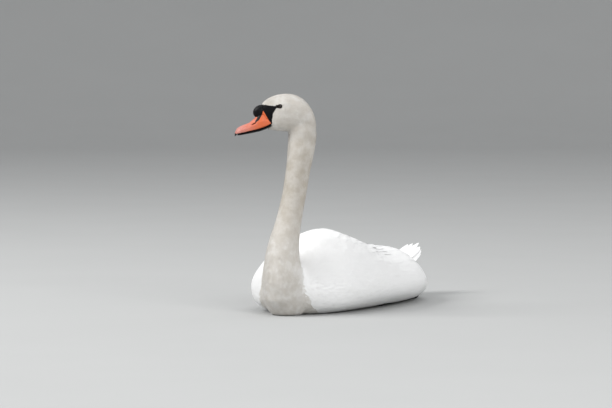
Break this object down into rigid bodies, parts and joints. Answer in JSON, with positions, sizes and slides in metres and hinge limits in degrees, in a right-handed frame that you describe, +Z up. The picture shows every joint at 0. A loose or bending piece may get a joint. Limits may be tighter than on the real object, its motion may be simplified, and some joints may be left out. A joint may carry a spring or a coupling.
{
  "type": "mute swan",
  "caption": "Life-size adult mute swan lying down with folded wings, tall raised neck and head turned to its right, with an orange bill and a black knob, as a still model.",
  "frame": {"origin": "middle of the box round the bird, at the level of the ground that it lies on", "axes": "-Y forwards, from the tail to the breast; +X to the bird's left; +Z up"},
  "size_m": [0.2912, 0.7045, 0.4664],
  "materials": {
    "white_plumage": "soft white feathers",
    "cream_plumage": "short, velvety, stained cream feathers",
    "orange_bill": "smooth satin horn, pinker to the tip",
    "black_bill": "smooth satin black skin and horn",
    "eye": "wet dark brown",
    "leg": "scaly grey-black skin"
  },
  "bodies": {
    "root": {"trunk": "white_plumage", "mantle": "white_plumage", "wing_left": "white_plumage", "wing_right": "white_plumage", "wing_tip_left": "white_plumage", "wing_tip_right": "white_plumage", "tail": "white_plumage", "neck_lower": "cream_plumage", "neck_middle": "cream_plumage", "neck_upper": "cream_plumage", "head": "cream_plumage", "bill_upper": "orange_bill", "bill_lower": "black_bill", "bill_nail": "black_bill", "bill_knob": "black_bill", "eye_left": "eye", "eye_right": "eye", "leg_left": "leg", "leg_right": "leg", "foot_left": "leg", "foot_right": "leg"}
  },
  "joints": []
}
